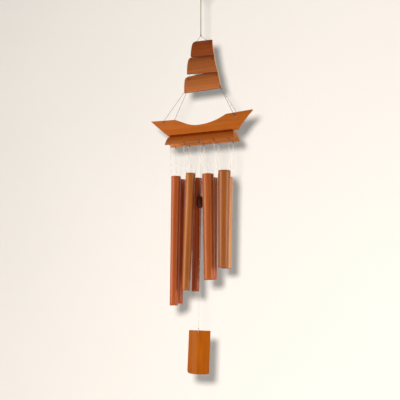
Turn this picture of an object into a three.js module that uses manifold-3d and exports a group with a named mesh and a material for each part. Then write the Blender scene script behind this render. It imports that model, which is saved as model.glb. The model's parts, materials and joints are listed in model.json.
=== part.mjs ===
// A bamboo wind chime in the form of a sailing ship, in millimetres, +Z up.
// The origin is the point where the hanging ring rests on its hook: the inside top of the ring.
// +X runs along the ship, -Y is the front. Three curved slats are the sails, two leaning slats
// are the hull, and a half culm under the hull spreads eight hanging tubes in two rows of four.
// A bead on the middle line is the clapper, and a curved slat below it catches the wind.

import * as THREE from 'three';
import { mergeVertices } from 'three/addons/utils/BufferGeometryUtils.js';
import Module from 'manifold-3d';

const wasm = await Module();
wasm.setup();

// ---------- driving dimensions ----------

const GAP = 0.3;            // air between pieces that touch on the real object
const THREAD_R = 0.35;      // nylon thread
const HOLE_R = 1.1;         // drilled thread holes
const KNOT_R = 0.9;         // stopper knots tied in the thread
const BEND = 1.0;           // how far a thread bends clear of the face it runs over
const THREAD_SLOPE = 0.2;   // how far a thread drops or rises as it passes through a slat
const CORD_R = 1.0;         // twisted hanger cord
const SLAT = 2.6;           // thickness of the bamboo slats

const RING_WIRE_R = 1.0;
const RING_R = 9;           // mean radius of the hanging ring
const RING_BOTTOM_Z = RING_WIRE_R - 2 * RING_R;

const LOOP_R = 1.9;         // mean radius of the cord's loop round the ring wire
const LOOP_CORD_R = 0.6;
const LOOP_KNOT = { z: RING_BOTTOM_Z - 4.2, r: 1.6, half: 1.8 };
const RIG_KNOT = { z: -90, r: 1.9, half: 2.3 };

// Each sail: its four corners as [x, z], clockwise from the top left, and its thread holes.
const SAIL_R = 64;          // radius of the culm that the sails are split from
const SAIL_FRONT_Y = -7;    // front face at a sail's bottom edge
const SAIL_CORNER = 6.5;    // rounding of the top left corner
const SAILS = [
  {
    name: 'sail_top', corners: [[-16.5, -98.5], [21, -100.5], [28, -133], [-17, -129.7]],
    holes: [[-11.5, -104.5], [17, -105.5]],
  },
  {
    name: 'sail_middle', corners: [[-25, -125.8], [23.6, -127.5], [34.4, -164.4], [-24, -161]],
    holes: [[-18.5, -136.5], [22.5, -138]],
  },
  {
    name: 'sail_bottom', corners: [[-30.3, -162.8], [29.8, -157.6], [41.3, -194], [-29, -195.3]],
    holes: [[-23.5, -171], [29.5, -168.5], [-26.5, -191.5], [38.4, -190.5]],
  },
];

// Hull sides: outer face of the section, and the outline of each side as [x, z].
const HULL_R = 46;
const HULL_TOP = { y: 16.5, z: -241 };
const HULL_BOTTOM = { y: 4.6, z: -271.3 };
const HULL_FLOOR_Z = -270.6;
const HULL_SHEER_Z = -257.3;
const HULL_FRONT = {
  bottom: [-60.2, 70.5], tips: [[-89.6, -243.4], [101.6, -241.3]],
  deck: [[-42.5, -244.9], [52.6, -244.2]], low: -2, holes: [[-65, -248.5], [69.5, -250]],
};
const HULL_REAR = {
  bottom: [-55, 54], tips: [[-85, -243.6], [78, -242.6]],
  deck: [[-42.5, -244.9], [50, -244.6]], low: -2, holes: [[-66, -248.5], [69, -248.5]],
};

// Spreader: half a culm, open below.
const CROWN_Z = -270.8;
const SPREADER_R = 12.75;
const SPREADER_WALL = 2.5;
const SPREADER_EDGE_Z = -287.4;
const SPREADER_TOP = [-58, 62.4];
const SPREADER_BASE = [-64.3, 67.8];
const TIE_X = [-54, -26.5, 1, 28.5, 56];
const TIE_HOLE_RISE = 2.5;                         // hole centre above the bottom edge
const TIE = { y: 2.5, z: 1.9, rise: 0.9, knot: 1.0, knotDrop: 1.9 };
const ROW_Y = SPREADER_R - SPREADER_WALL / 2;      // each row of tubes hangs under one wall
const THREAD_TOP_Z = SPREADER_EDGE_Z - TIE.knotDrop - TIE.knot - GAP;
const THREAD_TOP_STEP = 0.55;                      // each thread starts this far beside its tie

// Tubes: x and z of the top's centre, length, radius at the top and at the foot, and lean in
// degrees (+ moves the foot to -X).
const TUBE_WALL = 2.2;
const TUBE_HOLE_DROP = 12.7;
// Where a thread passes a tube, from the rim down to inside the wall: [out from the tube's outer
// face, up from its holes].
const THREAD_BESIDE_TUBE = [[0.8, TUBE_HOLE_DROP + 1], [0.7, 1.0], [0.25, 0.15], [-1.0, -0.05]];
const FRONT_TUBES = [
  { x: -42.1, z: -345.0, length: 221.7, r: 8.3, foot: 7.0, lean: 0.75 },
  { x: -14.3, z: -341.4, length: 200.2, r: 8.4, foot: 7.0, lean: 2.35 },
  { x: 17.4, z: -345.0, length: 179.2, r: 9.9, foot: 8.6, lean: -0.7 },
  { x: 47.4, z: -341.2, length: 163.0, r: 10.6, foot: 8.2, lean: 0.9 },
];
const REAR_TUBES = [
  { x: -42.9, z: -347.0, length: 217, r: 8.2, foot: 7.6, lean: 1.0 },
  { x: -11.4, z: -346.6, length: 196.6, r: 8.3, foot: 6.8, lean: 0.95 },
  { x: 17.4, z: -347.9, length: 175, r: 8.9, foot: 8.4, lean: 0.5 },
  { x: 45.1, z: -348.9, length: 156, r: 8.9, foot: 8.2, lean: 1.2 },
];

// Middle line: clapper bead and wind catcher.
const LINE_LEAN = 0.71;     // degrees, foot to -X
const CROWN_KNOT = { z: CROWN_Z + 1.8, r: 1.4 };
const CLAPPER = { z: -391, r: 6.5, half: 10.2 };
const CLAPPER_KNOT_R = 1.4;
const CATCHER_LINE_END_Z = -603.8;
const CATCHER = { width: 39.4, length: 70.8, r: 28, wall: 3.0, holeDrop: 3.0, offset: -0.8 };
const CATCHER_FOOT = { left: 7, right: 3, sag: 0.7 };   // corner roundings, and how far it bows down
const CATCHER_LEAN = 0.6;   // degrees, foot to -X
const CATCHER_NOD = -4.6;   // degrees; its weight lies behind its hole, so it hangs foot forward
const CATCHER_TIE = { y: 3.3, z: 2.5, knot: 1.2 };

// ---------- materials ----------

const finish = (color, roughness, metalness = 0) =>
  new THREE.MeshStandardMaterial({ color, roughness, metalness });
const STEEL = finish(0xb9b9b4, 0.3, 1);
const TWINE = finish(0xb8ab9a, 0.9);
const NYLON = finish(0xe6e4de, 0.35);
const TOP_SAIL_BAMBOO = finish(0x914b23, 0.4);
const SAIL_BAMBOO = finish(0xac6434, 0.4);
const HULL_BAMBOO = finish(0xc26e24, 0.4);
const SPREADER_BAMBOO = finish(0xa55a20, 0.45);
const TUBE_BAMBOO = finish(0xa64d20, 0.3);
const BEAD_WOOD = finish(0x3c1608, 0.45);
const CATCHER_BAMBOO = finish(0xb0601e, 0.4);

// ---------- making and placing solids ----------

const chime = new THREE.Group();

function addMesh(name, geometry, material, parent = chime) {
  const mesh = new THREE.Mesh(geometry, material);
  mesh.name = name;
  parent.add(mesh);
  return mesh;
}

function toSolid(geometry) {
  const bare = geometry.clone();
  bare.deleteAttribute('normal');
  bare.deleteAttribute('uv');
  const merged = mergeVertices(bare, 1e-4);
  return new wasm.Manifold(new wasm.Mesh({
    numProp: 3,
    vertProperties: new Float32Array(merged.attributes.position.array),
    triVerts: new Uint32Array(merged.index.array),
  }));
}

function toGeometry(solid) {
  const mesh = solid.getMesh();
  const geometry = new THREE.BufferGeometry();
  geometry.setAttribute('position', new THREE.BufferAttribute(mesh.vertProperties, 3));
  geometry.setIndex(new THREE.BufferAttribute(mesh.triVerts, 1));
  geometry.computeVertexNormals();
  return geometry;
}

const joined = (geometries) =>
  toGeometry(geometries.map(toSolid).reduce((whole, piece) => whole.add(piece)));

function drilled(geometry, drills) {
  return toGeometry(drills.map(toSolid).reduce((whole, drill) => whole.subtract(drill),
    toSolid(geometry)));
}

// ---------- shapes ----------

// A prism of a section drawn in (Y, Z), running from x0 to x1.
function prismAlongX(shape, x0, x1, curveSegments = 8) {
  const geometry = new THREE.ExtrudeGeometry(shape, {
    depth: x1 - x0, bevelEnabled: false, curveSegments,
  });
  geometry.applyMatrix4(new THREE.Matrix4().makeBasis(
    new THREE.Vector3(0, 1, 0), new THREE.Vector3(0, 0, 1), new THREE.Vector3(1, 0, 0)));
  return geometry.translate(x0, 0, 0);
}

// A prism of an outline drawn in (X, Z), running from -half to +half along Y.
function prismAlongY(shape, half, curveSegments = 8) {
  const geometry = new THREE.ExtrudeGeometry(shape, {
    depth: 2 * half, bevelEnabled: false, curveSegments,
  });
  geometry.applyMatrix4(new THREE.Matrix4().makeBasis(
    new THREE.Vector3(1, 0, 0), new THREE.Vector3(0, 0, 1), new THREE.Vector3(0, -1, 0)));
  return geometry.translate(0, half, 0);
}

// The band between two arcs of one centre.
function arcBand(cx, cy, outerR, innerR, from, to) {
  const band = new THREE.Shape();
  band.absarc(cx, cy, outerR, from, to, false);
  band.absarc(cx, cy, innerR, to, from, true);
  band.closePath();
  return band;
}

function drillAlong(axis, x, y, z, length, r = HOLE_R) {
  const geometry = new THREE.CylinderGeometry(r, r, length, 8);
  if (axis === 'x') geometry.rotateZ(Math.PI / 2);
  if (axis === 'z') geometry.rotateX(Math.PI / 2);
  return geometry.translate(x, y, z);
}

const knot = (x, y, z, r, half = r) =>
  new THREE.SphereGeometry(1, 7, 5).rotateX(Math.PI / 2).scale(r, r, half).translate(x, y, z);

// A taut thread's route: straight runs from corner to corner, one step for each run.
class ThreadRoute extends THREE.Curve {
  constructor(points) {
    super();
    this.points = points.map((point) => new THREE.Vector3(...point));
  }

  getPoint(t, target = new THREE.Vector3()) {
    const place = t * (this.points.length - 1);
    const index = Math.min(Math.floor(place + 1e-6), this.points.length - 2);
    return target.lerpVectors(this.points[index], this.points[index + 1], place - index);
  }

  getPointAt(u, target) {
    return this.getPoint(u, target);
  }

  getTangentAt(u, target = new THREE.Vector3()) {
    const index = Math.round(u * (this.points.length - 1));
    const before = this.points[Math.max(index - 1, 0)];
    const here = this.points[index];
    const after = this.points[Math.min(index + 1, this.points.length - 1)];
    const arriving = here.clone().sub(before).normalize();
    const leaving = after.clone().sub(here).normalize();
    return target.addVectors(arriving, leaving).normalize();
  }
}

function thread(points, r = THREAD_R, sides = 8) {
  const section = new THREE.Shape();
  for (let side = 0; side < sides; side += 1) {
    const angle = (2 * Math.PI * side) / sides;
    section[side ? 'lineTo' : 'moveTo'](r * Math.cos(angle), r * Math.sin(angle));
  }
  section.closePath();
  return new THREE.ExtrudeGeometry(section, {
    steps: points.length - 1, extrudePath: new ThreadRoute(points), bevelEnabled: false,
  });
}

// A loop of thread in the (Y, Z) plane, as wide and high as the two half sizes say.
const threadLoop = (x, y, z, halfY, halfZ, r = THREAD_R) => {
  const loop = new THREE.TorusGeometry(1, r / Math.min(halfY, halfZ), 6, 12);
  loop.rotateY(Math.PI / 2);
  const scale = Math.min(halfY, halfZ);
  return loop.scale(scale, halfY, halfZ).translate(x, y, z);
};

// ---------- hanger ----------

function addHanger() {
  const ring = new THREE.TorusGeometry(RING_R, RING_WIRE_R, 8, 24).rotateX(Math.PI / 2);
  addMesh('hanging_ring', ring.translate(0, 0, RING_WIRE_R - RING_R), STEEL);

  const loop = threadLoop(0, 0, RING_BOTTOM_Z, LOOP_R, LOOP_R, LOOP_CORD_R);
  const loopKnot = knot(0, 0, LOOP_KNOT.z, LOOP_KNOT.r, LOOP_KNOT.half);
  addMesh('hanger_loop', joined([loop, loopKnot]), TWINE);

  const top = LOOP_KNOT.z - LOOP_KNOT.half - 0.5;
  const bottom = RIG_KNOT.z + RIG_KNOT.half + GAP;
  const middle = (top + bottom) / 2;
  addMesh('hanger_cord', thread([[0, 0, top], [0, 0, middle], [0, 0, bottom]], CORD_R), TWINE);
  addMesh('rig_knot', knot(0, 0, RIG_KNOT.z, RIG_KNOT.r, RIG_KNOT.half), TWINE);
}

// ---------- sails ----------

// Front face of a sail at a height above its bottom edge.
const sailFrontY = (rise) => SAIL_FRONT_Y + SAIL_R - Math.sqrt(SAIL_R ** 2 - rise ** 2);

const sailBottomZ = (sail) => Math.min(...sail.corners.map((corner) => corner[1]));

function sailOutline([topLeft, topRight, bottomRight, bottomLeft]) {
  const outline = new THREE.Shape();
  outline.moveTo(...bottomLeft);
  outline.lineTo(...bottomRight);
  outline.lineTo(...topRight);
  outline.lineTo(topLeft[0] + SAIL_CORNER, topLeft[1]);
  outline.quadraticCurveTo(...topLeft, topLeft[0] - 0.3, topLeft[1] - SAIL_CORNER);
  outline.closePath();
  return outline;
}

function addSails() {
  for (const sail of SAILS) {
    const bottom = sailBottomZ(sail);
    const band = arcBand(SAIL_FRONT_Y + SAIL_R, bottom, SAIL_R, SAIL_R - SLAT,
      THREE.MathUtils.degToRad(142), Math.PI);
    const slat = toSolid(prismAlongX(band, -60, 60, 10));
    const outline = toSolid(prismAlongY(sailOutline(sail.corners), 30, 4));
    const drills = sail.holes.map(([x, z]) => drillAlong('y', x, 0, z, 60));
    const material = sail.name === 'sail_top' ? TOP_SAIL_BAMBOO : SAIL_BAMBOO;
    addMesh(sail.name, drilled(toGeometry(slat.intersect(outline)), drills), material);
  }
}

// ---------- hull ----------

function hullCentre() {
  const chord = new THREE.Vector2(HULL_TOP.y - HULL_BOTTOM.y, HULL_TOP.z - HULL_BOTTOM.z);
  const inward = new THREE.Vector2(-chord.y, chord.x).normalize();
  const reach = Math.sqrt(HULL_R ** 2 - (chord.length() / 2) ** 2);
  const middle = new THREE.Vector2(HULL_TOP.y + HULL_BOTTOM.y, HULL_TOP.z + HULL_BOTTOM.z)
    .multiplyScalar(0.5);
  return middle.addScaledVector(inward, reach);
}

// Distance of the hull's outer face from the middle plane at a height.
function hullOuterY(z) {
  const centre = hullCentre();
  return centre.x + Math.sqrt(HULL_R ** 2 - (z - centre.y) ** 2);
}

function hullOutline({ bottom, tips, deck, low }) {
  const outline = new THREE.Shape();
  outline.moveTo(bottom[0], HULL_FLOOR_Z);
  outline.lineTo(bottom[1], HULL_FLOOR_Z);
  outline.lineTo(...tips[1]);
  outline.lineTo(...deck[1]);
  outline.bezierCurveTo(deck[1][0] - 13, deck[1][1] - 7, low + 24, HULL_SHEER_Z, low, HULL_SHEER_Z);
  outline.bezierCurveTo(low - 16, HULL_SHEER_Z, deck[0][0] + 9.5, deck[0][1] - 3, ...deck[0]);
  outline.lineTo(...tips[0]);
  outline.closePath();
  return outline;
}

function addHullSide(name, side, direction) {
  const centre = hullCentre();
  const band = arcBand(centre.x, centre.y, HULL_R, HULL_R - SLAT, -0.75, 0.06);
  const section = prismAlongX(band, -100, 110, 12);
  if (direction < 0) section.rotateZ(Math.PI);
  const outline = toSolid(prismAlongY(hullOutline(side), 30, 12));
  const slat = toGeometry(toSolid(section).intersect(outline));
  const drills = side.holes.map(([x, z]) => drillAlong('y', x, direction * HULL_TOP.y, z, 16));
  addMesh(name, drilled(slat, drills), HULL_BAMBOO);
}

// ---------- rig lines ----------

// A line threaded back through one hole of a sail, its stopper knot behind the sail.
const sailPass = (sail, [x, z]) => {
  const front = sailFrontY(z - sailBottomZ(sail));
  return { x, z, front: front - BEND, back: front + SLAT + KNOT_R + GAP };
};

// Where a line from a sail's foot comes down to a hull side: over its top edge, in through its
// hole and to a stopper knot on the inside. direction is -1 for the front side, 1 for the rear.
function hullPass([x, z], sign, direction) {
  const outside = hullOuterY(z);
  const inside = outside - SLAT - KNOT_R - GAP - 0.4;
  return {
    route: [
      [x - sign * 3, direction * (HULL_TOP.y + BEND), z + 4.5],
      [x, direction * (outside + 0.8), z + THREAD_SLOPE],
      [x, direction * inside, z - THREAD_SLOPE / 2],
    ],
    knot: knot(x, direction * (inside - 0.1), z, KNOT_R),
  };
}

function addRigLines() {
  const bottom = SAILS[SAILS.length - 1];
  for (const [index, side] of ['left', 'right'].entries()) {
    const sign = index ? 1 : -1;
    const passes = SAILS.map((sail) => sailPass(sail, sail.holes[index]));
    const foot = sailPass(bottom, bottom.holes[index + 2]);
    const frontRoute = [[sign * 0.9, 0, RIG_KNOT.z - RIG_KNOT.half + 0.1 - GAP]];
    for (const { x, z, front, back } of passes) {
      frontRoute.push([x, front, z + THREAD_SLOPE], [x, back, z - THREAD_SLOPE]);
    }
    frontRoute.push([foot.x, foot.back, foot.z + THREAD_SLOPE]);
    frontRoute.push([foot.x, foot.front - THREAD_SLOPE, foot.z - THREAD_SLOPE]);
    const toFront = hullPass(HULL_FRONT.holes[index], sign, -1);
    const knots = [...passes, foot].map(({ x, z, back }) => knot(x, back, z, KNOT_R));
    const frontLine = thread([...frontRoute, ...toFront.route]);
    addMesh(`rig_line_${side}_front`, joined([frontLine, ...knots, toFront.knot]), NYLON);

    const toRear = hullPass(HULL_REAR.holes[index], sign, 1);
    const rearStart = [foot.x, foot.back + KNOT_R + GAP, foot.z - BEND];
    const rearLine = thread([rearStart, ...toRear.route]);
    addMesh(`rig_line_${side}_rear`, joined([rearLine, toRear.knot]), NYLON);
  }
}

// ---------- spreader and its thread ties ----------

function addSpreader() {
  const springZ = CROWN_Z - SPREADER_R;
  const inner = SPREADER_R - SPREADER_WALL;
  const section = new THREE.Shape();
  section.moveTo(inner, SPREADER_EDGE_Z);
  section.lineTo(SPREADER_R, SPREADER_EDGE_Z);
  section.absarc(0, springZ, SPREADER_R, 0, Math.PI, false);
  section.lineTo(-SPREADER_R, SPREADER_EDGE_Z);
  section.lineTo(-inner, SPREADER_EDGE_Z);
  section.absarc(0, springZ, inner, Math.PI, 0, true);
  section.closePath();
  const culm = toSolid(prismAlongX(section, -80, 80, 14));

  const ends = new THREE.Shape();
  const below = SPREADER_EDGE_Z - 1;
  const above = CROWN_Z + 1;
  ends.moveTo(SPREADER_BASE[0], below);
  ends.lineTo(SPREADER_BASE[1], below);
  ends.lineTo(SPREADER_TOP[1], above);
  ends.lineTo(SPREADER_TOP[0], above);
  ends.closePath();
  const holeZ = SPREADER_EDGE_Z + TIE_HOLE_RISE;
  const drills = TIE_X.map((x) => drillAlong('y', x, 0, holeZ, 40));
  drills.push(drillAlong('z', 0, 0, CROWN_Z, 12));
  const cut = toGeometry(culm.intersect(toSolid(prismAlongY(ends, 30))));
  addMesh('spreader', drilled(cut, drills), SPREADER_BAMBOO);

  for (const [row, y] of [['front', -ROW_Y], ['rear', ROW_Y]]) {
    TIE_X.forEach((x, index) => {
      const loop = threadLoop(x, y, SPREADER_EDGE_Z + TIE.rise, TIE.y, TIE.z);
      const tieKnot = knot(x, y, SPREADER_EDGE_Z - TIE.knotDrop, TIE.knot);
      addMesh(`spreader_tie_${row}_${index + 1}`, joined([loop, tieKnot]), NYLON);
    });
  }
}

// ---------- tubes ----------

// A place in a tube's own frame, measured from the middle of its thread holes.
function inTube(tube, y, dx, dz) {
  const lean = THREE.MathUtils.degToRad(tube.lean);
  const point = new THREE.Vector3(dx, 0, dz - TUBE_HOLE_DROP);
  point.applyAxisAngle(new THREE.Vector3(0, 1, 0), lean);
  return [tube.x + point.x, y, tube.z + point.z];
}

function addTube(row, index, tube, y) {
  const { r: top, foot, length } = tube;
  const profile = [
    [top - TUBE_WALL, 0], [top, 0], [foot, -length], [foot - TUBE_WALL, -length],
    [top - TUBE_WALL, 0],
  ].reverse().map(([r, z]) => new THREE.Vector2(r, z));
  const body = new THREE.LatheGeometry(profile, 24).rotateX(Math.PI / 2);
  const culm = drilled(body, [drillAlong('x', 0, 0, -TUBE_HOLE_DROP, 40)]);
  const mesh = addMesh(`tube_${row}_${index + 1}`, culm, TUBE_BAMBOO);
  mesh.position.set(tube.x, y, tube.z);
  mesh.rotation.y = THREE.MathUtils.degToRad(tube.lean);

  // Each end of the thread runs up the tube's outside to clear its rim, then on to its tie.
  const besideTube = (side) => THREAD_BESIDE_TUBE
    .map(([out, rise]) => inTube(tube, y, side * (top + out), rise));
  const route = [
    [TIE_X[index] + THREAD_TOP_STEP, y, THREAD_TOP_Z], ...besideTube(-1),
    ...besideTube(1).reverse(), [TIE_X[index + 1] - THREAD_TOP_STEP, y, THREAD_TOP_Z],
  ];
  addMesh(`tube_thread_${row}_${index + 1}`, thread(route), NYLON);
}

// ---------- clapper and wind catcher ----------

function addMiddleLine() {
  const line = new THREE.Group();
  line.position.set(0, 0, CROWN_Z);
  line.rotation.y = THREE.MathUtils.degToRad(LINE_LEAN);
  chime.add(line);
  const local = (z) => z - CROWN_Z;

  addMesh('crown_knot', knot(0, 0, local(CROWN_KNOT.z), CROWN_KNOT.r), NYLON, line);
  const lineTop = local(CROWN_KNOT.z) - CROWN_KNOT.r - GAP;
  const bead = local(CLAPPER.z);
  const beadFoot = bead - CLAPPER.half;
  addMesh('clapper_line', thread([[0, 0, lineTop], [0, 0, bead], [0, 0, beadFoot]]), NYLON, line);

  const { r, half } = CLAPPER;
  const profile = [
    [HOLE_R, -half], [0.73 * r, -half], [0.93 * r, -0.8 * half], [r, 0],
    [0.93 * r, 0.8 * half], [0.73 * r, half], [HOLE_R, half], [HOLE_R, -half],
  ].map(([radius, z]) => new THREE.Vector2(radius, z));
  const clapper = new THREE.LatheGeometry(profile, 20).rotateX(Math.PI / 2);
  addMesh('clapper', clapper.translate(0, 0, bead), BEAD_WOOD, line);

  const stopZ = beadFoot - GAP - CLAPPER_KNOT_R;
  addMesh('clapper_knot', knot(0, 0, stopZ, CLAPPER_KNOT_R), NYLON, line);
  const end = local(CATCHER_LINE_END_Z);
  const start = stopZ - CLAPPER_KNOT_R - GAP;
  const route = [[0, 0, start], [0, 0, (start + end) / 2], [0, 0, end]];
  addMesh('catcher_line', thread(route), NYLON, line);

  const catcher = new THREE.Group();
  catcher.position.set(0, 0, end - GAP);
  catcher.rotation.y = THREE.MathUtils.degToRad(CATCHER_LEAN - LINE_LEAN);
  line.add(catcher);
  addCatcher(catcher);
}

// The catcher's frame has its origin at the top of the tie knot.
function addCatcher(parent) {
  const { knot: knotR, y: halfY, z: halfZ } = CATCHER_TIE;
  const loopZ = -2 * knotR - halfZ + 0.4;
  const holeZ = loopZ - halfZ + 0.2;
  const tie = joined([threadLoop(0, 0, loopZ, halfY, halfZ), knot(0, 0, -knotR, knotR)]);
  addMesh('catcher_tie', tie, NYLON, parent);

  // The slat's own frame has its origin in its thread hole.
  const top = CATCHER.holeDrop;
  const foot = top - CATCHER.length;
  const reach = Math.asin(CATCHER.width / 2 / CATCHER.r);
  const centreY = CATCHER.r - CATCHER.wall / 2;
  const down = -Math.PI / 2;
  const innerR = CATCHER.r - CATCHER.wall;
  const band = arcBand(CATCHER.offset, centreY, CATCHER.r, innerR, down - reach, down + reach);
  const slat = new THREE.ExtrudeGeometry(band, {
    depth: CATCHER.length + CATCHER_FOOT.sag, bevelEnabled: false, curveSegments: 14,
  }).translate(0, 0, foot - CATCHER_FOOT.sag);

  const { left: leftRound, right: rightRound, sag } = CATCHER_FOOT;
  const left = CATCHER.offset - CATCHER.width / 2;
  const right = left + CATCHER.width;
  const outline = new THREE.Shape();
  outline.moveTo(left + leftRound, foot);
  outline.quadraticCurveTo(CATCHER.offset, foot - 2 * sag, right - rightRound, foot);
  outline.quadraticCurveTo(right, foot, right + 1, foot + rightRound);
  outline.lineTo(right + 1, top + 1);
  outline.lineTo(left - 1, top + 1);
  outline.lineTo(left - 1, foot + leftRound);
  outline.quadraticCurveTo(left, foot, left + leftRound, foot);
  outline.closePath();
  const rounded = toGeometry(toSolid(slat).intersect(toSolid(prismAlongY(outline, 30, 5))));
  const bored = drilled(rounded, [drillAlong('y', 0, 0, 0, 20)]);
  const mesh = addMesh('catcher', bored, CATCHER_BAMBOO, parent);
  mesh.position.z = holeZ;
  mesh.rotation.x = THREE.MathUtils.degToRad(CATCHER_NOD);
}

// ---------- assembly ----------

addHanger();
addSails();
addHullSide('hull_front', HULL_FRONT, -1);
addHullSide('hull_rear', HULL_REAR, 1);
addRigLines();
addSpreader();
FRONT_TUBES.forEach((tube, index) => addTube('front', index, tube, -ROW_Y));
REAR_TUBES.forEach((tube, index) => addTube('rear', index, tube, ROW_Y));
addMiddleLine();

export default chime;
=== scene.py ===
"""Looks of a bamboo wind chime in the form of a ship, built round its CAD frame.

Metres, +Z up. The origin is where the ring rests on its hook, +X runs along the ship and -Y is
the front.
"""

import json
import math

import bmesh
import bpy
from mathutils import Matrix, Vector, noise


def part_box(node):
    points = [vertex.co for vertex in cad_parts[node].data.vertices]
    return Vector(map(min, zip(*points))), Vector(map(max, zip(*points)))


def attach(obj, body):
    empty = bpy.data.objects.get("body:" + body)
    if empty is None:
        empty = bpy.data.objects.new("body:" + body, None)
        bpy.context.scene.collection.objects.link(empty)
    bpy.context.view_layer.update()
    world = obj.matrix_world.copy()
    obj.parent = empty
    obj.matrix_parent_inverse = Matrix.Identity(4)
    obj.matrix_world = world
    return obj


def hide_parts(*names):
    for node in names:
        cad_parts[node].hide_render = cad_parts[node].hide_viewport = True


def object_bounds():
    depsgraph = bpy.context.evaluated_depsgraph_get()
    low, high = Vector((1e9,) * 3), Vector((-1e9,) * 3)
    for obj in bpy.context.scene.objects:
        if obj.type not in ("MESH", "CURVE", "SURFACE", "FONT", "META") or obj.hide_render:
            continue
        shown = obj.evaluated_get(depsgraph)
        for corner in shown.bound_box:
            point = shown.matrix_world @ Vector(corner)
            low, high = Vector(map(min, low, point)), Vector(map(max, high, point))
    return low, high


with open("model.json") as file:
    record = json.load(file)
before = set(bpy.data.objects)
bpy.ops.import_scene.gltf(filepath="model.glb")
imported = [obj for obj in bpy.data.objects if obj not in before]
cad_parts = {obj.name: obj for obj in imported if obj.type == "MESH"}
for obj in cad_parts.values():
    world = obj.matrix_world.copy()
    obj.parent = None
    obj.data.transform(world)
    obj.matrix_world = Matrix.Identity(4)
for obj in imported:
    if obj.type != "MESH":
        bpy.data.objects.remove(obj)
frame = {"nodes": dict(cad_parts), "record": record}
cad_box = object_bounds()

# ---------- sizes ----------

MM = 0.001
THREAD_R = 0.35 * MM
THREAD_HOLE_R = 1.1 * MM
CORD_R = 1.0 * MM
LINE_LEAN = math.radians(0.71)      # the middle line hangs foot to -X

RING_WIRE_R = 1.0 * MM
LOOP_CORD_R = 0.6 * MM

SAIL_R = 64 * MM                    # radius of the culm that the sails are split from
HULL_SLOPE = math.radians(21.5)     # how far the hull's sides lean out from upright
CATCHER_R = 28 * MM
EDGE_ROUND = 0.45 * MM              # rounding of the slats' sanded edges
EDGE_STEPS = 3
WELD = 0.001 * MM                   # CAD corners closer than this are one corner
FLAT_WITHIN = math.radians(0.5)     # CAD triangles this close to one plane are one face
CORNER_FROM = math.radians(32)      # corners sharper than this are rounded
SMOOTH_BELOW = math.radians(40)     # corners blunter than this are shaded smooth
FACING = 0.62                       # least cosine at which a face counts as skin or inside

GLUE_R = 2.2 * MM
GLUE_ENDS = (-57 * MM, 61 * MM)
GLUE_STEPS = 90
GLUE_OUT = 0.5 * MM                 # how far the bead stands out from the hull's foot
GLUE_DROP = 1.0 * MM                # how far the bead hangs below it
GLUE_STRAY = 0.3 * MM
GLUE_LUMP = 9 * MM

TIE_HALF_HIGH = 1.9 * MM
TIE_KNOT_R = 1.0 * MM
TIE_KNOT_DROP = 0.6 * MM            # from the spreader's edge to the top of the knot

TUBE_WALL = 2.2 * MM
TUBE_HOLE_DROP = 12.7 * MM
TUBE_RIM_ROUND = 0.45 * MM
TUBE_WOBBLE = 0.12 * MM             # how far a culm's wall strays from a true circle
TUBE_SIDES = 64
RIM_BAND = 1.5 * MM                 # corners this near a tube's end belong to its rim
BEAD_SIDES = 56
BEAD_SQUARENESS = 0.55              # 1 is an ellipsoid and less is nearer a cylinder

# ---------- camera ----------

CAMERA_AZIMUTH = math.radians(22.5)
CAMERA_PITCH = math.radians(7.95)
CAMERA_DISTANCE = 1.1
CAMERA_Z = -0.5408
CAMERA_ASIDE = -1.54 * MM
CAMERA_LENS = 58

towards_camera = Vector((math.sin(CAMERA_AZIMUTH), -math.cos(CAMERA_AZIMUTH), 0))
camera_right = Vector((math.cos(CAMERA_AZIMUTH), math.sin(CAMERA_AZIMUTH), 0))


def add_camera():
    data = bpy.data.cameras.new("camera")
    data.lens = CAMERA_LENS
    data.clip_start = 0.05
    camera = bpy.data.objects.new("camera", data)
    camera.location = towards_camera * CAMERA_DISTANCE + camera_right * CAMERA_ASIDE
    camera.location.z = CAMERA_Z
    camera.rotation_euler = (math.pi / 2 + CAMERA_PITCH, 0, CAMERA_AZIMUTH)
    bpy.context.scene.collection.objects.link(camera)
    bpy.context.scene.camera = camera


# ---------- node materials ----------


def linear(red, green, blue):
    """A colour of 0 to 255 screen values as the linear values that nodes take."""

    def channel(value):
        value /= 255
        return value / 12.92 if value <= 0.04045 else ((value + 0.055) / 1.055) ** 2.4

    return (channel(red), channel(green), channel(blue), 1)


def scaled(colour, factor):
    return tuple(min(channel * factor, 1) for channel in colour[:3]) + (1,)


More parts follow.
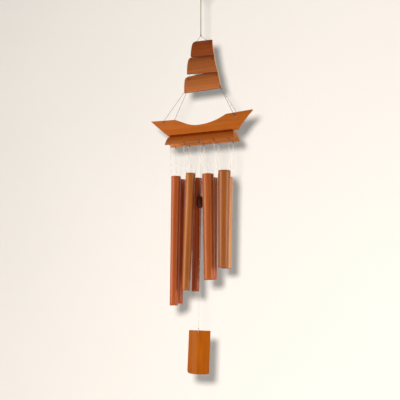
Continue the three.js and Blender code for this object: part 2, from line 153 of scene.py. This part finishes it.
class Nodes:
    """A material's node tree, with short calls for the nodes that the materials here use."""

    def __init__(self, name):
        self.material = bpy.data.materials.new(name)
        self.material.use_nodes = True
        self.tree = self.material.node_tree
        self.shader = self.tree.nodes["Principled BSDF"]
        self.output = self.tree.nodes["Material Output"]
        self.place = self.add("TexCoord").outputs["Object"]

    def add(self, kind, values=None, **settings):
        node = self.tree.nodes.new("ShaderNode" + kind)
        for key, value in settings.items():
            setattr(node, key, value)
        for key, value in (values or {}).items():
            self.feed(node, key, value)
        return node

    def feed(self, node, key, value):
        if isinstance(value, bpy.types.NodeSocket):
            self.tree.links.new(value, node.inputs[key])
        else:
            node.inputs[key].default_value = value

    def set(self, values):
        for key, value in values.items():
            self.feed(self.shader, key, value)
        return self.material

    def noise(self, size, detail=3, seed=0.0, roughness=0.5):
        """Noise whose lumps have this size in metres, along X, Y and Z."""
        mapping = self.add("Mapping", {
            "Vector": self.place, "Location": (seed, seed, seed), "Scale": [1 / s for s in size],
        })
        values = {"Vector": mapping.outputs[0], "Scale": 1.0, "Detail": detail}
        return self.add("TexNoise", {**values, "Roughness": roughness}).outputs["Fac"]

    def cells(self, size):
        """Distance from the middle of cells of this size in metres."""
        values = {"Vector": self.place, "Scale": 1 / size}
        return self.add("TexVoronoi", values).outputs["Distance"]

    def ramp(self, factor, stops):
        node = self.add("ValToRGB", {"Fac": factor})
        elements = node.color_ramp.elements
        while len(elements) < len(stops):
            elements.new(0.5)
        for element, (position, colour) in zip(elements, stops):
            element.position = position
            element.color = colour
        return node.outputs["Color"]

    def spread(self, factor, low, high, start=0.3, end=0.7):
        """A value that goes from low to high as the factor goes from start to end."""
        values = {"Value": factor, "From Min": start, "From Max": end}
        return self.add("MapRange", {**values, "To Min": low, "To Max": high}).outputs[0]

    def mix(self, factor, first, second, blend="MIX"):
        node = self.add("Mix", data_type="RGBA", blend_type=blend)
        for index, value in ((0, factor), (6, first), (7, second)):
            self.feed(node, index, value)
        return node.outputs[2]

    def bump(self, height, strength, depth):
        values = {"Height": height, "Strength": strength, "Distance": depth}
        return self.add("Bump", values).outputs["Normal"]


def along(grain, across, length):
    """Sizes of a lump that is drawn out along the grain, which is X or Z."""
    return tuple(length if axis == grain else across for axis in "XYZ")


def bamboo_skin(name, colour, grain, seed, depth, gloss):
    """Stained and lacquered culm skin: long soft streaks, fine fibres and a clear coat.

    depth is how dark the streaks are beside the colour: 1 is none. gloss scales the lacquer.
    """
    nodes = Nodes(name)
    streaks = nodes.noise(along(grain, 5 * MM, 160 * MM), 3, seed)
    fibres = nodes.noise(along(grain, 0.5 * MM, 30 * MM), 4, seed + 3, 0.65)
    clouds = nodes.noise((22 * MM, 22 * MM, 30 * MM), 2, seed + 7)
    stain = nodes.ramp(streaks, [
        (0.25, scaled(colour, depth)), (0.5, colour), (0.78, scaled(colour, 1.2)),
    ])
    lines = nodes.ramp(fibres, [
        (0.3, (0.76, 0.7, 0.64, 1)), (0.48, (0.97, 0.96, 0.95, 1)), (0.7, (1, 1, 1, 1)),
    ])
    stained = nodes.mix(0.75, stain, lines, "MULTIPLY")
    darker = nodes.mix(1.0, stained, scaled(colour, 0.85), "MULTIPLY")
    clouded = nodes.mix(nodes.spread(clouds, 0, 0.1), stained, darker)
    return nodes.set({
        "Base Color": clouded,
        "Roughness": nodes.spread(fibres, 0.5, 0.4),
        "Specular IOR Level": 0.6 * gloss,
        "Specular Tint": linear(255, 224, 192),
        "Coat Weight": 0.12 * gloss,
        "Coat Roughness": 0.28,
        "Normal": nodes.bump(fibres, 0.35, 0.1 * MM),
    })


def bamboo_cut(name, colour):
    """Sawn bamboo: the fibres' ends show as fine dark dots in a paler ground."""
    nodes = Nodes(name)
    dots = nodes.ramp(nodes.cells(0.55 * MM), [
        (0.12, scaled(colour, 0.45)), (0.32, colour), (0.7, scaled(colour, 1.15)),
    ])
    clouds = nodes.noise((3 * MM, 3 * MM, 3 * MM), 3)
    return nodes.set({
        "Base Color": nodes.mix(nodes.spread(clouds, 0, 0.5), dots, scaled(colour, 0.6)),
        "Roughness": 0.6,
        "Normal": nodes.bump(nodes.cells(0.55 * MM), 0.4, 0.1 * MM),
    })


def bamboo_inside(name, colour, grain):
    """The culm's inner wall: matt, with coarse fibres and little stain."""
    nodes = Nodes(name)
    fibres = nodes.noise(along(grain, 0.9 * MM, 45 * MM), 4)
    patches = nodes.noise(along(grain, 6 * MM, 40 * MM), 3, 5)
    stain = nodes.ramp(fibres, [(0.3, scaled(colour, 0.6)), (0.6, colour)])
    return nodes.set({
        "Base Color": nodes.mix(nodes.spread(patches, 0, 0.45), stain, scaled(colour, 0.5)),
        "Roughness": 0.72,
        "Normal": nodes.bump(fibres, 0.5, 0.15 * MM),
    })


def bamboo(name, skin, cut, inside, edge, grain, seed, depth, gloss=1.0):
    """The finishes of a bamboo piece, in the order of its faces' material numbers.

    The colours are those of its skin, its sawn ends, its inner wall and its edges along the
    grain.
    """
    return [
        bamboo_skin(f"{name}_skin", linear(*skin), grain, seed, depth, gloss),
        bamboo_cut(f"{name}_end", linear(*cut)),
        bamboo_inside(f"{name}_inside", linear(*inside), grain),
        bamboo_inside(f"{name}_edge", linear(*edge), grain),
    ]


SKIN, CUT, INSIDE, EDGE = 0, 1, 2, 3


def dark_wood():
    nodes = Nodes("dark_wood")
    rings = nodes.noise((1.6 * MM, 1.6 * MM, 14 * MM), 4)
    colour = linear(62, 20, 6)
    stain = nodes.ramp(rings, [(0.3, scaled(colour, 0.45)), (0.7, scaled(colour, 1.5))])
    return nodes.set({
        "Base Color": stain, "Roughness": 0.55, "Specular IOR Level": 0.2,
        "Coat Weight": 0.08, "Coat Roughness": 0.35,
        "Normal": nodes.bump(rings, 0.3, 0.1 * MM),
    })


def glue_and_painted_shade():
    # The dark colour is partly glue and partly painted shade: the shadow in the groove under each
    # hull side.
    nodes = Nodes("glue_and_painted_shade")
    smears = nodes.noise((6 * MM, 1.5 * MM, 1.5 * MM), 3)
    stain = nodes.ramp(smears, [(0.3, linear(84, 24, 4)), (0.7, linear(116, 40, 10))])
    return nodes.set({
        "Base Color": stain, "Roughness": 0.8, "Specular IOR Level": 0.05,
        "Normal": nodes.bump(smears, 0.5, 0.3 * MM),
    })


def twine():
    nodes = Nodes("twine")
    hairs = nodes.noise((0.25 * MM, 0.25 * MM, 0.8 * MM), 4)
    stain = nodes.ramp(hairs, [(0.3, linear(112, 101, 90)), (0.65, linear(172, 160, 146))])
    return nodes.set({
        "Base Color": stain, "Roughness": 0.85, "Sheen Weight": 0.3,
        "Normal": nodes.bump(hairs, 0.6, 0.1 * MM),
    })


def nylon(name, dark, light):
    nodes = Nodes(name)
    haze = nodes.noise((1.5 * MM, 1.5 * MM, 6 * MM), 2)
    stain = nodes.ramp(haze, [(0.3, linear(*dark)), (0.7, linear(*light))])
    return nodes.set({
        "Base Color": stain, "Roughness": nodes.spread(haze, 0.15, 0.3),
        "Transmission Weight": 0.9, "IOR": 1.4,
    })


def steel():
    nodes = Nodes("steel")
    drawn = nodes.noise((0.15 * MM, 3 * MM, 0.15 * MM), 3)
    return nodes.set({
        "Base Color": nodes.ramp(drawn, [(0.3, linear(150, 150, 148)), (0.7, linear(196, 196, 192))]),
        "Metallic": 1.0, "Roughness": nodes.spread(drawn, 0.22, 0.38),
        "Normal": nodes.bump(drawn, 0.15, 0.05 * MM),
    })


TWINE = twine()
NYLON = nylon("nylon", (228, 219, 206), (246, 240, 231))
RIG_NYLON = nylon("smoky_nylon", (112, 96, 82), (158, 142, 126))
STEEL = steel()
DARK_WOOD = dark_wood()
GLUE_AND_PAINTED_SHADE = glue_and_painted_shade()

# ---------- making pieces ----------


def body_of(node):
    bodies = frame["record"]["behaviour"]["bodies"]
    return next(body for body, members in bodies.items() if node in members)


def stand_for(piece, node):
    """The piece takes a CAD node's place and body."""
    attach(piece, body_of(node))
    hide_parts(node)


def go_with(piece, node):
    """The piece is a detail added to what a CAD node stands for."""
    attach(piece, body_of(node))


def new_object(name, data, materials):
    for material in materials:
        data.materials.append(material)
    piece = bpy.data.objects.new(name, data)
    bpy.context.scene.collection.objects.link(piece)
    return piece


def to_object(name, shape, materials):
    """A bmesh as an object, smooth except at its sharp corners."""
    bmesh.ops.recalc_face_normals(shape, faces=shape.faces)
    for face in shape.faces:
        face.smooth = True
    mesh = bpy.data.meshes.new(name)
    shape.to_mesh(mesh)
    shape.free()
    mesh.set_sharp_from_angle(angle=SMOOTH_BELOW)
    return new_object(name, mesh, materials)


def apply_modifiers(piece):
    graph = bpy.context.evaluated_depsgraph_get()
    mesh = bpy.data.meshes.new_from_object(piece.evaluated_get(graph))
    piece.modifiers.clear()
    piece.data = mesh


def curve(name, routes, radius, material, closed=False):
    """Round cords of one radius along lists of points."""
    data = bpy.data.curves.new(name, "CURVE")
    data.dimensions = "3D"
    data.bevel_depth = radius
    data.bevel_resolution = 4
    data.use_fill_caps = True
    for points in routes:
        spline = data.splines.new("POLY")
        spline.points.add(len(points) - 1)
        for target, point in zip(spline.points, points):
            target.co = (*point, 1)
        spline.use_cyclic_u = closed
        spline.use_smooth = True
    return new_object(name, data, [material])


def ring_points(centre, first, second, count=40):
    """Points round an ellipse with these two half axes."""
    turns = [2 * math.pi * index / count for index in range(count)]
    return [centre + first * math.cos(turn) + second * math.sin(turn) for turn in turns]


def knot_points(centre, half_wide, half_high, cord_r, count=72):
    """A pulled-tight overhand knot: its outside fits a box of these half sizes."""
    points = []
    wide = (half_wide - cord_r) / 3
    high = half_high - cord_r
    for index in range(count):
        turn = 2 * math.pi * index / count
        x = math.sin(turn) + 2 * math.sin(2 * turn)
        y = math.cos(turn) - 2 * math.cos(2 * turn)
        points.append(centre + Vector((x * wide, y * wide, -high * math.sin(3 * turn))))
    return points


# ---------- hanger ----------


PLIES = 3
PLY_DEPTH = 0.14                    # depth of the grooves between plies, as a share of the radius
TWIST_STEPS = 14                    # sections in one full turn


def twisted_tube(name, start, end, radius, turn_length, sides=24):
    """A laid cord: a lobed section that turns as it goes from start to end along Z."""
    shape = bmesh.new()
    length = abs(end.z - start.z)
    steps = round(length / (turn_length / TWIST_STEPS))
    rings = []
    for step in range(steps + 1):
        share = step / steps
        middle = start.lerp(end, share)
        twist = 2 * math.pi * share * length / turn_length
        ring = []
        for side in range(sides):
            angle = 2 * math.pi * side / sides
            lobe = (1 - PLY_DEPTH) + PLY_DEPTH * math.cos(PLIES * angle - twist * PLIES)
            offset = Vector((math.cos(angle), math.sin(angle), 0)) * radius * lobe
            ring.append(shape.verts.new(middle + offset))
        rings.append(ring)
    for lower, upper in zip(rings, rings[1:]):
        for side in range(sides):
            after = (side + 1) % sides
            shape.faces.new((lower[side], lower[after], upper[after], upper[side]))
    shape.faces.new(rings[0])
    shape.faces.new(rings[-1])
    return to_object(name, shape, [TWINE])


def add_hanger():
    low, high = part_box("hanging_ring")
    middle = (low + high) / 2
    ring_r = (high.z - low.z) / 2 - RING_WIRE_R
    points = ring_points(middle, Vector((ring_r, 0, 0)), Vector((0, 0, ring_r)), 96)
    ring = curve("ring", [points], RING_WIRE_R, STEEL, closed=True)
    stand_for(ring, "hanging_ring")

    low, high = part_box("hanger_loop")
    wire_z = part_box("hanging_ring")[0].z + RING_WIRE_R
    loop_r = high.z - wire_z - LOOP_CORD_R
    centre = Vector((0, 0, wire_z))
    round_wire = ring_points(centre, Vector((0, loop_r, 0)), Vector((0, 0, loop_r)))
    knot_top = wire_z - loop_r
    half_knot = (knot_top - low.z) / 2
    knot = knot_points(Vector((0, 0, low.z + half_knot)), 1.6 * MM, half_knot, LOOP_CORD_R)
    loop = curve("cord_loop", [round_wire, knot], LOOP_CORD_R, TWINE, closed=True)
    stand_for(loop, "hanger_loop")

    low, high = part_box("hanger_cord")
    foot, top = Vector((0, 0, low.z)), Vector((0, 0, high.z))
    cord = twisted_tube("cord", foot, top, CORD_R, 7 * MM)
    stand_for(cord, "hanger_cord")

    low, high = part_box("rig_knot")
    half = (high - low) / 2
    points = knot_points((low + high) / 2, half.x, half.z, 0.75 * MM)
    stand_for(curve("top_knot", [points], 0.75 * MM, TWINE, closed=True), "rig_knot")


# ---------- bamboo slats ----------


def slat(name, node, outward, materials, grain="X"):
    """A CAD slat with its edges sanded round, its faces sorted into skin, cuts and inside.

    outward(place) is the direction away from the axis of the culm that the slat was split from.
    """
    shape = bmesh.new()
    shape.from_mesh(frame["nodes"][node].data)
    bmesh.ops.remove_doubles(shape, verts=shape.verts, dist=WELD)
    bmesh.ops.dissolve_limit(
        shape, angle_limit=FLAT_WITHIN, verts=shape.verts, edges=shape.edges)
    corners = [edge for edge in shape.edges if edge.calc_face_angle(0) > CORNER_FROM]
    bmesh.ops.bevel(
        shape, geom=corners, offset=EDGE_ROUND, segments=EDGE_STEPS, profile=0.5,
        affect="EDGES", clamp_overlap=True)
    shape.normal_update()
    for face in shape.faces:
        facing = face.normal.dot(outward(face.calc_center_median()))
        along_grain = abs(face.normal.x if grain == "X" else face.normal.z)
        sawn = CUT if along_grain > 0.5 else EDGE
        face.material_index = SKIN if facing > FACING else INSIDE if facing < -FACING else sawn
    piece = to_object(name, shape, materials)
    for polygon in piece.data.polygons:
        polygon.use_smooth = polygon.material_index in (SKIN, INSIDE)
    normals = piece.modifiers.new("normals", "WEIGHTED_NORMAL")
    normals.keep_sharp = True
    stand_for(piece, node)
    return piece


def from_axis(y, z):
    """Directions away from a culm axis that runs along X through this y and z."""
    return lambda place: Vector((0, place.y - y, place.z - z)).normalized()


def add_sails():
    finishes = {
        "sail_top": ((134, 62, 20), 1.0),
        "sail_middle": ((150, 84, 40), 2.0),
        "sail_bottom": ((162, 94, 46), 3.0),
    }
    for node, (skin, seed) in finishes.items():
        low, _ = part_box(node)
        # The dark red-brown edge colour is painted shade: the shadow line under each sail's lower
        # edge, painted on all its long edges.
        materials = bamboo(
            node, skin, cut=(214, 160, 104), inside=(150, 84, 34), edge=(86, 30, 10), grain="X",
            seed=seed, depth=0.74, gloss=0.45)
        slat(f"{node}_slat", node, from_axis(low.y + SAIL_R, low.z), materials)


def frame_foot_y(node):
    """How far forward or back a hull side's outer face is at its foot."""
    foot_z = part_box(node)[0].z
    places = [vertex.co for vertex in frame["nodes"][node].data.vertices]
    return max((place.y for place in places if place.z - foot_z < 0.1 * MM), key=abs)


def add_hull():
    upright = math.cos(HULL_SLOPE)
    for node, side in (("hull_front", -1), ("hull_rear", 1)):
        outward = Vector((0, side * upright, -math.sin(HULL_SLOPE)))
        materials = bamboo(
            node, skin=(158, 82, 14), cut=(150, 78, 24), inside=(176, 104, 40),
            edge=(150, 78, 24), grain="X", seed=side, depth=0.78, gloss=0.35)
        slat(f"{node}_slat", node, lambda place, outward=outward: outward, materials)


def add_spreader():
    low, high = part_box("spreader")
    half_wide = (high.y - low.y) / 2
    materials = bamboo(
        "spreader", skin=(148, 75, 8), cut=(176, 104, 44), inside=(196, 116, 44),
        edge=(190, 110, 40), grain="X", seed=4, depth=0.7, gloss=0.5)
    slat("spreader_culm", "spreader", from_axis(0, high.z - half_wide), materials)


def add_glue_and_shade_bead():
    """A dark bead in the groove between each hull side and the spreader's crown: partly glue, partly
    painted shade for the groove's shadow.
    """
    for node, side in (("hull_front", -1), ("hull_rear", 1)):
        foot_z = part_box(node)[0].z
        reach = abs(frame_foot_y(node))
        points = []
        radii = []
        for step in range(GLUE_STEPS + 1):
            share = step / GLUE_STEPS
            x = GLUE_ENDS[0] + (GLUE_ENDS[1] - GLUE_ENDS[0]) * share
            stray = noise.noise(Vector((x / GLUE_LUMP, side, 0)))
            z = foot_z - GLUE_DROP + GLUE_STRAY * stray
            points.append(Vector((x, side * (reach + GLUE_OUT), z)))
            radii.append(1 + 0.25 * stray if 0 < step < GLUE_STEPS else 0.5)
        # The bead's dark colour stands for glue and for painted shade in the groove.
        seam = curve(f"{node}_glue", [points], GLUE_R, GLUE_AND_PAINTED_SHADE)
        for target, radius in zip(seam.data.splines[0].points, radii):
            target.radius = radius
        go_with(seam, "spreader")


def add_catcher():
    low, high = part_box("catcher")
    middle = (low + high) / 2
    axis_y = low.y + CATCHER_R

    def outward(place):
        return Vector((place.x - middle.x, place.y - axis_y, 0)).normalized()

    materials = bamboo(
        "catcher", skin=(158, 82, 6), cut=(190, 118, 56), inside=(178, 110, 48),
        edge=(206, 142, 84), grain="Z", seed=6, depth=0.82, gloss=0.2)
    slat("catcher_slat", "catcher", outward, materials, "Z")


# ---------- spreader ties ----------


def add_tie(row, number):
    """A loop of thread through the spreader's lower edge, and the knot that closes it."""
    node = f"spreader_tie_{row}_{number}"
    low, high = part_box(node)
    edge_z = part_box("spreader")[0].z
    half_wide = (high.y - low.y) / 2 - THREAD_R
    middle = (low + high) / 2
    loop_centre = Vector((middle.x, middle.y, high.z - THREAD_R - TIE_HALF_HIGH))
    loop = ring_points(loop_centre, Vector((0, half_wide, 0)), Vector((0, 0, TIE_HALF_HIGH)))
    half_knot = (edge_z - TIE_KNOT_DROP - low.z) / 2
    centre = Vector((middle.x, middle.y, low.z + half_knot))
    knot = knot_points(centre, TIE_KNOT_R, half_knot, THREAD_R)
    tie = curve(f"tie_{row}_{number}", [loop, knot], THREAD_R, RIG_NYLON, closed=True)
    stand_for(tie, node)


# ---------- tubes ----------

# Stain of each tube, front row then rear row, left to right.
TUBE_STAINS = {
    "front": [(154, 66, 10), (148, 80, 16), (152, 70, 8), (138, 72, 14)],
    "rear": [(146, 56, 6), (142, 54, 6), (150, 66, 12), (186, 124, 72)],
}


def rim_of(node, end):
    """Middle and outer radius of a tube's rim: end is 1 for the top and -1 for the foot."""
    places = [vertex.co for vertex in frame["nodes"][node].data.vertices]
    extreme = max(place.z * end for place in places)
    rim = [place for place in places if extreme - place.z * end < RIM_BAND]
    middle = sum(rim, Vector()) / len(rim)
    return middle, max((place - middle).length for place in rim)


def lathe(name, profile, sides, place, materials, wobble):
    """A closed profile of (radius, height, face material) turned about Z and then placed."""
    shape = bmesh.new()
    rings = []
    for radius, height, _ in profile:
        ring = []
        for side in range(sides):
            angle = 2 * math.pi * side / sides
            across = radius + wobble(angle, height)
            point = Vector((across * math.cos(angle), across * math.sin(angle), height))
            ring.append(shape.verts.new(place @ point))
        rings.append(ring)
    for index, ring in enumerate(rings):
        following = rings[(index + 1) % len(rings)]
        for side in range(sides):
            after = (side + 1) % sides
            face = shape.faces.new((ring[side], ring[after], following[after], following[side]))
            face.material_index = profile[index][2]
    return to_object(name, shape, materials)


def tube_profile(top_r, foot_r, length, steps=36):
    """Outer wall from the top down, then back up the bore, with rounded rims."""
    profile = []
    soft = TUBE_RIM_ROUND
    for step in range(steps + 1):
        share = step / steps
        height = -soft - share * (length - 2 * soft)
        profile.append((top_r + (foot_r - top_r) * share, height, SKIN))
    profile[-1] = (*profile[-1][:2], CUT)
    profile.append((foot_r - 0.3 * soft, -length + 0.3 * soft, CUT))
    profile.append((foot_r - soft, -length, CUT))
    profile.append((foot_r - TUBE_WALL + 0.6 * soft, -length, CUT))
    profile.append((foot_r - TUBE_WALL, -length + 0.6 * soft, INSIDE))
    profile.append((top_r - TUBE_WALL, -0.6 * soft, CUT))
    profile.append((top_r - TUBE_WALL + 0.6 * soft, 0, CUT))
    profile.append((top_r - soft, 0, CUT))
    profile.append((top_r - 0.3 * soft, -0.3 * soft, CUT))
    return profile


def drill(piece, centre, direction, radius, length):
    """Cuts a round hole through a piece."""
    shape = bmesh.new()
    turn = direction.to_track_quat("Z", "Y").to_matrix().to_4x4()
    bmesh.ops.create_cone(
        shape, cap_ends=True, segments=24, radius1=radius, radius2=radius, depth=length,
        matrix=Matrix.Translation(centre) @ turn)
    cutter = to_object("cutter", shape, [])
    cut = piece.modifiers.new("cut", "BOOLEAN")
    cut.object = cutter
    cut.solver = "EXACT"
    apply_modifiers(piece)
    bpy.data.objects.remove(cutter)


def add_tube(row, number):
    node = f"tube_{row}_{number}"
    top, top_r = rim_of(node, 1)
    foot, foot_r = rim_of(node, -1)
    up = (top - foot).normalized()
    aside = Vector((up.z, 0, -up.x)).normalized()
    turned = Matrix((aside, up.cross(aside), up)).transposed().to_4x4()
    seed = 10 * number + (5 if row == "rear" else 0)

    def wobble(angle, height):
        place = Vector((math.cos(angle), math.sin(angle), 18 * height + seed))
        return TUBE_WOBBLE * noise.noise(place)

    stain = TUBE_STAINS[row][number - 1]
    materials = bamboo(
        node, skin=stain, cut=(88, 40, 18), inside=(140, 78, 36), edge=(88, 40, 18), grain="Z",
        seed=seed, depth=0.66)
    profile = tube_profile(top_r, foot_r, (top - foot).length)
    place = Matrix.Translation(top) @ turned
    piece = lathe(f"{node}_culm", profile, TUBE_SIDES, place, materials, wobble)
    drill(piece, top - up * TUBE_HOLE_DROP, aside, THREAD_HOLE_R, 4 * top_r)
    stand_for(piece, node)


# ---------- middle line ----------


def add_clapper():
    low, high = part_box("clapper")
    middle = (low + high) / 2
    half = (high.z - low.z) / 2
    bead_r = (high.x - low.x) / 2 - half * math.sin(LINE_LEAN) * 0.7
    profile = []
    steps = 28
    for step in range(steps + 1):
        turn = math.pi * step / steps
        squared = abs(math.sin(turn)) ** BEAD_SQUARENESS
        profile.append((max(bead_r * squared, THREAD_HOLE_R), half * math.cos(turn), 0))
    profile.append((THREAD_HOLE_R, -0.97 * half, 0))
    profile.append((THREAD_HOLE_R, 0.97 * half, 0))
    place = Matrix.Translation(middle) @ Matrix.Rotation(LINE_LEAN, 4, "Y")
    bead = lathe("bead", profile, BEAD_SIDES, place, [DARK_WOOD], lambda angle, height: 0)
    stand_for(bead, "clapper")


def add_line_knots():
    for node in ("crown_knot", "clapper_knot"):
        low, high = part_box(node)
        half = (high - low) / 2
        points = knot_points((low + high) / 2, half.x, half.z, 1.5 * THREAD_R)
        stand_for(curve(f"{node}_tied", [points], 1.5 * THREAD_R, NYLON, closed=True), node)

    low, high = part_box("catcher_tie")
    half_knot = 1.2 * MM
    half_wide = (high.y - low.y) / 2 - THREAD_R
    half_high = (high.z - 2 * half_knot - low.z) / 2 - THREAD_R
    loop_centre = Vector(((low.x + high.x) / 2, 0, low.z + THREAD_R + half_high))
    loop = ring_points(loop_centre, Vector((0, half_wide, 0)), Vector((0, 0, half_high)))
    centre = Vector((loop_centre.x, 0, high.z - half_knot))
    knot = knot_points(centre, half_knot, half_knot, 1.3 * THREAD_R)
    tie = curve("catcher_loop", [loop, knot], THREAD_R, NYLON, closed=True)
    stand_for(tie, "catcher_tie")


def finish_threads():
    """The CAD threads keep their shape and take the nylon: smoky in the rig, clear below."""
    kept = {"clapper_line": NYLON, "catcher_line": NYLON}
    for row in ("front", "rear"):
        kept.update({f"tube_thread_{row}_{number}": NYLON for number in range(1, 5)})
        kept.update({f"rig_line_{side}_{row}": RIG_NYLON for side in ("left", "right")})
    for node, material in kept.items():
        materials = frame["nodes"][node].data.materials
        materials.clear()
        materials.append(material)


# ---------- stage and light ----------

FLOOR_Z = cad_box[0][2] - 0.9
WALL_BEHIND = 0.5
STAGE_HALF = 2.0
STAGE_FRONT = -2.2
WALL_TOP = 0.7
COVE_R = 0.05
WALL_LIGHT_ASIDE = -0.041           # from the camera, along the wall
WALL_LIGHT_RISE = 0.042             # above the camera
WALL_LIGHT_R = 0.021
WALL_LIGHT_POWER = 0.306
WALL_LIGHT_COLOUR = (1, 0.949, 0.893)
LIGHTS_Z = -0.36                    # height that the softboxes are turned to
WARM = (1, 0.92, 0.82)
WORLD_COLOUR = (0.97, 0.99, 1.0, 1)
WORLD_STRENGTH = 0.21

# Degrees to the right of and above the line towards the camera, distance, width and height,
# and power.
SOFTBOXES = {
    "left": (-70, 4, 1.3, (0.8, 1.2), 20),
    "right": (61, 4, 1.4, (0.6, 1.2), 16),
    "front": (0, -42, 1.6, (0.7, 0.7), 11),
    "behind": (190, 12, 1.6, (0.8, 0.8), 12),
}


def backdrop_material():
    """Cream paint, clear from behind so that the chime can be looked at from all round."""
    nodes = Nodes("backdrop")
    nodes.tree.nodes.remove(nodes.shader)
    mottle = nodes.noise((0.4, 0.4, 0.4), 2)
    paint = nodes.ramp(mottle, [(0.3, linear(246, 243, 239)), (0.7, linear(248, 245, 241))])
    diffuse = nodes.add("BsdfDiffuse", {"Color": paint})
    clear = nodes.add("BsdfTransparent")
    behind = nodes.add("NewGeometry").outputs["Backfacing"]
    surface = nodes.add("MixShader", {0: behind, 1: diffuse.outputs[0], 2: clear.outputs[0]})
    nodes.feed(nodes.output, "Surface", surface.outputs[0])
    return nodes.material


def add_stage():
    """One sheet: a floor that curves up into the wall behind the chime."""
    section = [(STAGE_FRONT, FLOOR_Z)]
    for step in range(9):
        turn = math.pi / 2 * step / 8
        across = WALL_BEHIND - COVE_R + COVE_R * math.sin(turn)
        section.append((across, FLOOR_Z + COVE_R * (1 - math.cos(turn))))
    section.append((WALL_BEHIND, WALL_TOP))
    shape = bmesh.new()
    left, right = (
        [shape.verts.new((side, y, z)) for y, z in section] for side in (-STAGE_HALF, STAGE_HALF))
    for index in range(len(section) - 1):
        shape.faces.new((left[index], right[index], right[index + 1], left[index + 1]))
    for face in shape.faces:
        face.smooth = True
    mesh = bpy.data.meshes.new("stage")
    shape.to_mesh(mesh)
    shape.free()
    stage = new_object("stage", mesh, [backdrop_material()])
    return stage


def only_with(name, stage, link_state):
    """A light's list of the stage alone (INCLUDE), or of all but the stage (EXCLUDE)."""
    listed = bpy.data.collections.new(name)
    listed.objects.link(stage)
    listed.collection_objects[0].light_linking.link_state = link_state
    return listed


def add_softbox(stage, name, aside, above, distance, size, power):
    """A softbox that lights the chime and not the stage."""
    azimuth = CAMERA_AZIMUTH + math.radians(aside)
    rise = math.radians(above)
    flat = Vector((math.sin(azimuth), -math.cos(azimuth), 0))
    direction = flat * math.cos(rise) + Vector((0, 0, math.sin(rise)))
    data = bpy.data.lights.new(name, "AREA")
    data.shape = "RECTANGLE"
    data.size, data.size_y = size
    data.energy = power
    data.color = WARM
    light = bpy.data.objects.new(name, data)
    light.location = Vector((0, 0, LIGHTS_Z)) + direction * distance
    light.rotation_euler = direction.to_track_quat("Z", "Y").to_euler()
    light.visible_transmission = False
    bpy.context.scene.collection.objects.link(light)
    chime_alone = only_with(f"{name}_receivers", stage, "EXCLUDE")
    light.light_linking.receiver_collection = chime_alone
    light.light_linking.blocker_collection = chime_alone


def add_wall_light(stage):
    """The light that throws the chime's soft shadow on the wall, with no fall-off."""
    data = bpy.data.lights.new("wall_light", "POINT")
    data.energy = WALL_LIGHT_POWER
    data.color = WALL_LIGHT_COLOUR
    data.shadow_soft_size = WALL_LIGHT_R
    data.use_nodes = True
    emission = data.node_tree.nodes["Emission"]
    even = data.node_tree.nodes.new("ShaderNodeLightFalloff")
    data.node_tree.links.new(even.outputs["Constant"], emission.inputs["Strength"])
    light = bpy.data.objects.new("wall_light", data)
    light.location = bpy.context.scene.camera.location
    light.location += Vector((WALL_LIGHT_ASIDE, 0, WALL_LIGHT_RISE))
    light.visible_glossy = False
    bpy.context.scene.collection.objects.link(light)
    light.light_linking.receiver_collection = only_with("wall_light_receivers", stage, "INCLUDE")


def add_world():
    world = bpy.data.worlds.new("world")
    world.use_nodes = True
    background = world.node_tree.nodes["Background"]
    background.inputs["Color"].default_value = WORLD_COLOUR
    background.inputs["Strength"].default_value = WORLD_STRENGTH
    bpy.context.scene.world = world


def add_lights(stage):
    add_wall_light(stage)
    for name, values in SOFTBOXES.items():
        add_softbox(stage, name, *values)
    add_world()
    bpy.context.scene.view_settings.view_transform = "Standard"


# ---------- assembly ----------

add_camera()
add_hanger()
add_sails()
add_hull()
add_spreader()
add_glue_and_shade_bead()
for row_name in ("front", "rear"):
    for tie_number in range(1, 6):
        add_tie(row_name, tie_number)
    for tube_number in range(1, 5):
        add_tube(row_name, tube_number)
add_clapper()
add_line_knots()
add_catcher()
finish_threads()
add_lights(add_stage())
